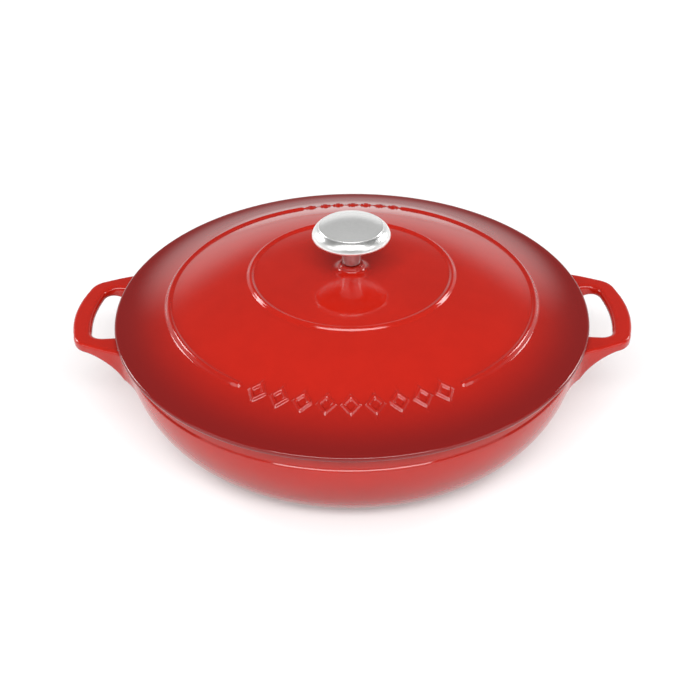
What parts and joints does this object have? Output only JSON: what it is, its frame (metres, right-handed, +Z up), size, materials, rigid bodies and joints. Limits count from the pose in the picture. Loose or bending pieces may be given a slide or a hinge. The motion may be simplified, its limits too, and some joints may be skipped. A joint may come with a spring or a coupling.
{
  "type": "casserole with lid",
  "caption": "Shallow round enamelled cast iron casserole with loop handles and a domed lift-off lid carrying a steel knob.",
  "frame": {"origin": "centre of the pan's flat base, on the surface it stands on", "axes": "+Z up, +X towards one loop handle, -Y towards the front of the lid's decoration"},
  "size_m": [0.3656, 0.308, 0.1279],
  "materials": {
    "pan_enamel": "gloss vitreous enamel over cast iron",
    "lid_enamel": "gloss vitreous enamel over cast iron",
    "satin_steel": "satin face with a polished edge",
    "dark_steel": "turned and polished",
    "screw_steel": "plain machine screw steel"
  },
  "bodies": {
    "casserole": {"casserole_body": "pan_enamel"},
    "lid": {"lid": "lid_enamel", "knob_head": "satin_steel", "knob_stem": "dark_steel", "knob_screw": "screw_steel", "knob_washer": "screw_steel"}
  },
  "joints": [
    {"name": "lid_lift", "type": "slide", "parent": "casserole", "child": "lid", "axis": [0, 0, 1], "range_m": [0, 0.15]}
  ]
}
